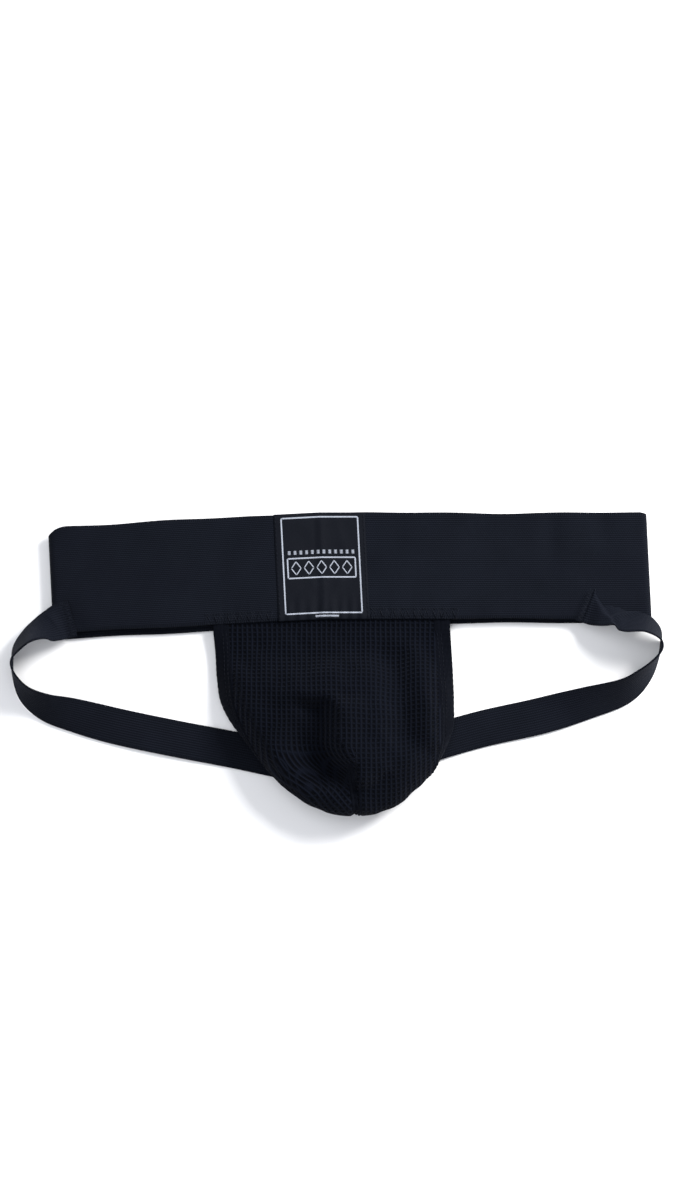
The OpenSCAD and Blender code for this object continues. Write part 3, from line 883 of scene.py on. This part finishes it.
# dart: two lips of cloth turned into a short standing seam
DART_U = 0.045
us = np.linspace(DART_U - 0.035, DART_U + 0.035, 15)
vv = np.linspace(0.56, 0.83, 60)
U, V = np.meshgrid(us, vv, indexing="ij")
lip = (np.abs(U - DART_U) / 0.035)
height = 1.0 * np.clip(1 - lip ** 2, 0, 1) ** 0.5 * smooth(0.56, 0.62, V) * smooth(0.83, 0.79, V)
height = height * (1 + 0.25 * np.sin(V * 132 * 2 * math.pi / 3.1))
height = height - 0.55 * bump(lip, 0, 0.18) * smooth(0.57, 0.62, V)
top = pouch_point(U, V, 0.55)
nrm = pouch_point(U, V, 1.55) - top
up = top + nrm * height[..., None]
lo = top - nrm * 0.4
dart_uv = np.stack([V * 132, U * 84], -1).reshape(-1, 2)
dart = make_mesh("pouch_dart_seam_knit", np.concatenate([up.reshape(-1, 3), lo.reshape(-1, 3)]),
                 slab_faces(*U.shape),
                 np.concatenate([dart_uv, dart_uv]), flat_knit)
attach(dart, "pouch")
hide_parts("pouch_dart_seam")

for o in (panel, left_hem, right_hem, hem_stitch):
    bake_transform(o)
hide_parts("pouch_panel", "pouch_top_hem")

# ------------------------------------------------------------------ leg straps
CROTCH = np.array([4.0, HINGE_Y - 0.745 * POUCH_D - 4])
LIFT = 0.7
left_hip = np.array([-0.462 * 424, float(front_low(-0.462 * 424)) + 10])
right_hip = np.array([0.386 * 424, float(front_low(0.386 * 424)) + 12])


def st(origin, dx, dy, base, roll):
    return [origin[0] + dx, origin[1] + dy, base, roll]


LEFT_ST = [st(CROTCH, -3, 0, LIFT, 0), st(CROTCH, -36, 5, LIFT, 0), st(CROTCH, -86, 15.5, 0, 0),
           st(CROTCH, -125, 23, 0, 0), st(left_hip, 32, -77, 0, 4), st(left_hip, 0, -68.5, 0, 22),
           st(left_hip, -19, -63, 0, 40), st(left_hip, -33, -54, 0, 60), st(left_hip, -41, -41, 0, 80),
           st(left_hip, -43, -30, 0, 87), st(left_hip, -39.5, -21, 4, 76), st(left_hip, -31, -12, BAND_TOP, 66),
           st(left_hip, -21, -6, BAND_TOP, 50), st(left_hip, -14, -3.8, BAND_TOP, 26),
           st(left_hip, -7, -1.9, BAND_TOP, 0), st(left_hip, 0, 0, BAND_TOP, 0)]
RIGHT_ST = [st(CROTCH, 6, 1.5, LIFT, 0), st(CROTCH, 38, 15, LIFT, 0), st(CROTCH, 86, 29.5, 0, 0),
            st(CROTCH, 130, 39.5, 0, 3), st(right_hip, 3, -71.5, 0, 25), st(right_hip, 30, -63, 0, 43),
            st(right_hip, 45, -51, 0, 62), st(right_hip, 54.5, -37, 0, 84), st(right_hip, 56.5, -28, 0, 87),
            st(right_hip, 52.5, -20, 7, 72), st(right_hip, 43, -13.5, BAND_TOP + 0.6, 60),
            st(right_hip, 28, -7, BAND_TOP, 48), st(right_hip, 15, -4.6, BAND_TOP, 22),
            st(right_hip, 7, -2.7, BAND_TOP, 0), st(right_hip, 0, 0, BAND_TOP, 0)]


def strap_rings(stations_, side, end_shape):
    p = catmull(stations_, 9)
    prof = section(STRAP_W, STRAP_T, 22, 4)
    ahead = np.gradient(p[:, :2], axis=0)
    ahead /= np.linalg.norm(ahead, axis=1)[:, None]
    s = np.concatenate([[0], np.cumsum(np.linalg.norm(np.diff(p[:, :2], axis=0), axis=1))])
    left = s[-1] - s
    rings, uvs = [], []
    for i in range(len(p)):
        t = np.array([ahead[i, 0], ahead[i, 1], 0])
        out = side * np.array([t[1], -t[0], 0])
        roll = math.radians(max(0, p[i, 3]))
        w = out * math.cos(roll) - np.array([0, 0, math.sin(roll)])
        up = side * np.cross(t, w)
        z = max(0, p[i, 2]) + STRAP_W / 2 * abs(math.sin(roll)) + STRAP_T / 2 * abs(math.cos(roll)) + 0.05
        c = np.array([p[i, 0], p[i, 1], z])
        pw, pt = prof[:, 0].copy(), prof[:, 1].copy()
        extra = end_shape(left[i], pw)
        pts = c + w * pw[:, None] + up * pt[:, None] + up * extra[:, None]
        # the flat run along the table has a soft ripple of its own
        calm = smooth(30, 60, s[i]) * smooth(0.35, 0.0, roll)
        pts[:, 2] += calm * (0.35 + 0.35 * math.sin(s[i] / 17.0)) * (1 + 0.3 * pw / 13)
        rings.append(pts)
        uvs.append(np.stack([np.full(len(pw), s[i]), pw + STRAP_W / 2], 1))
    rings = np.array(rings)
    if side < 0:
        rings, uvs = rings[:, ::-1], np.array(uvs)[:, ::-1]
    return rings, np.array(uvs), s


def right_end(left, w):
    """The turned-under end stands as a ridge; then the strap sinks, and puffs up behind a steep wall."""
    ridge = 2.1 * smooth(5.9, 5.2, left)
    wall = 16 - 0.8 * w
    puff = 5.6 * smooth(wall - 2.5, wall + 4.5, left) * smooth(50, 33, left) * smooth(5.8, 8.5, left)
    d = np.abs((left - 24) * 0.68 - (w + 3) * 0.73)
    crease = -2.2 * np.exp(-(d / 2.2) ** 2) * smooth(16, 24, left) * smooth(46, 36, left)
    return ridge + np.maximum(puff + crease, 0)


def left_end(left, w):
    ridge = 0.7 * smooth(5.7, 5.0, left)
    puff = 2.2 * bump(left, 17, 6.0) * smooth(13, -4, w) * smooth(5.5, 11, left)
    crease = -1.3 * np.exp(-((left - 12 - 0.4 * w) / 2.0) ** 2) * smooth(5.5, 9, left)
    return ridge + np.maximum(puff + crease, 0)


def split_strap(name, rings, uvs, s, cuts):
    """Cuts a strap's rings into pieces that share their end rings."""
    out = []
    idx = [0] + [int(np.argmin(np.abs(s - c))) for c in cuts] + [len(s) - 1]
    normals = ring_normals(rings)
    for k in range(len(idx) - 1):
        a, b = idx[k], idx[k + 1]
        cut = slice(a, b + 1)
        out.append(ring_sweep(f"{name}_{k + 1}", rings[cut], uvs[cut], strap_elastic, normals=normals[cut]))
    return out, [float(s[b] - s[a]) * MM for a, b in zip(idx[:-1], idx[1:])]


def nearest(s, rings, x, y):
    c = rings.mean(1)
    return s[int(np.argmin(np.hypot(c[:, 0] - x, c[:, 1] - y)))]


rings, uvs, s = strap_rings(LEFT_ST, -1, left_end)
L, left_flat = split_strap("left_leg_strap_elastic", rings, uvs, s,
                           [nearest(s, rings, -180, -107), nearest(s, rings, -226.5, -47)])
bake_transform(L[0])
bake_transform(L[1])
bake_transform(L[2])
rings, uvs, s = strap_rings(RIGHT_ST, 1, right_end)
R, right_flat = split_strap("right_leg_strap_elastic", rings, uvs, s,
                            [nearest(s, rings, 160, -97), nearest(s, rings, 215, -44.5)])
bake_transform(R[0])
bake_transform(R[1])
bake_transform(R[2])
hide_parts("left_leg_strap")
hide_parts("right_leg_strap")


# ------------------------------------------------------------------ strap stitches
def end_zigzag(name, hip, before, lift, node):
    h = np.array([hip[0] - before[0], hip[1] - before[1]])
    h /= np.linalg.norm(h)
    across = np.array([h[1], -h[0]])
    out = []
    n = 15
    for i in range(n):
        a, b = -11.5 + 23 * i / n, -11.5 + 23 * (i + 1) / n
        d0, d1 = (1.0, 5.0) if i % 2 else (5.0, 1.0)
        pts = []
        for k in range(5):
            t = k / 4
            q = np.array(hip) + across * (a + (b - a) * t) - h * (d0 + (d1 - d0) * t)
            pts.append([q[0], q[1], BAND_TOP + 0.05 + STRAP_T + lift + 0.02 + 0.2 * math.sin(math.pi * t)])
        out.append(pts)
    o = join_threads(name, out, 0.17, black_thread)
    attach(o, "waistband")
    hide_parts(node)
    return o


end_zigzag("right_strap_stitching_thread", right_hip, right_hip + [7, -2.7], 2.1, "right_strap_stitching")
end_zigzag("left_strap_stitching_thread", left_hip, left_hip + [-7, -1.9], 0.7, "left_strap_stitching")

# tape and box stitches below the pouch
tx = np.linspace(CROTCH[0] - 32, CROTCH[0] + 32, 40)
ty = np.linspace(CROTCH[1] + 1 - 15, CROTCH[1] + 1 + 15, 24)
tape = patch("crotch_tape_cloth", tx, ty, lambda x, y: 0.2 + 0 * x, 0.5, strap_elastic, skew=False)
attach(tape, "pouch")
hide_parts("crotch_tape")
boxes = []
for side in (-1, 1):
    cx, cy = CROTCH[0] + side * 16, CROTCH[1] + 1
    w, h = 12.6, 10.6
    corners = [(cx - w, cy - h), (cx + w, cy - h), (cx + w, cy + h), (cx - w, cy + h), (cx - w, cy - h)]
    lines = list(zip(corners[:-1], corners[1:])) + [(corners[0], corners[2]), (corners[1], corners[3])]
    for a, b in lines:
        pts = [[a[0] + (b[0] - a[0]) * t, a[1] + (b[1] - a[1]) * t, 0.2] for t in np.linspace(0, 1, 20)]
        boxes += running(pts, 2.4, 0.5, -0.12, 5)
boxes = join_threads("strap_join_stitching_thread", boxes, 0.15, black_thread)
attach(boxes, "pouch")
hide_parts("strap_join_stitching")

# ------------------------------------------------------------------ floor, light, camera
floor_mat, nt, bsdf = new_material("floor_paint", 0.9, 0.0)
bsdf.inputs["Base Color"].default_value = (0.86, 0.86, 0.87, 1)
bsdf.inputs["Specular IOR Level"].default_value = 0.1
bpy.ops.mesh.primitive_plane_add(size=14, location=(0, 0, -0.0004))
floor = bpy.context.object
floor.name = "floor"
floor.data.materials.append(floor_mat)

world = bpy.data.worlds.new("studio")
bpy.context.scene.world = world
world.use_nodes = True
world.node_tree.nodes["Background"].inputs[0].default_value = (0.93, 0.95, 1.0, 1)
world.node_tree.nodes["Background"].inputs[1].default_value = 0.55


def area_light(name, location, target, size, power, colour=(1, 1, 1)):
    data = bpy.data.lights.new(name, "AREA")
    data.shape = "RECTANGLE"
    data.size, data.size_y = size
    data.energy = power
    data.color = colour
    o = bpy.data.objects.new(name, data)
    bpy.context.scene.collection.objects.link(o)
    o.location = location
    d = np.array(target, float) - np.array(location, float)
    o.rotation_mode = "QUATERNION"
    o.rotation_quaternion = Vector(d).to_track_quat("-Z", "Y")
    return o


area_light("key", (1.05, 0.80, 0.95), (0, -0.05, 0), (0.6, 0.6), 54, (1, 0.99, 0.97))
area_light("fill", (-0.5, 0.2, 1.7), (0, -0.05, 0), (1.6, 1.6), 16, (0.95, 0.97, 1))

cam_data = bpy.data.cameras.new("camera")
cam = bpy.data.objects.new("camera", cam_data)
bpy.context.scene.collection.objects.link(cam)
bpy.context.scene.camera = cam
cam_data.sensor_width = 36
# the frame is 675 x 1200: the long side takes the sensor's width
view_h = 1200 * 0.71 * MM
distance = 2.4
cam_data.lens = 36 * distance / view_h
cam.location = ((337.5 - 336.5) * 0.71 * MM - 0.0095, (663.5 - 600) * 0.71 * MM - 0.067, distance)
cam.rotation_euler = (0, 0, 0)
cam_data.clip_start, cam_data.clip_end = 0.05, 30

scene = bpy.context.scene
scene.view_settings.view_transform = "Standard"
scene.view_settings.look = "None"
scene.view_settings.exposure = 0.0
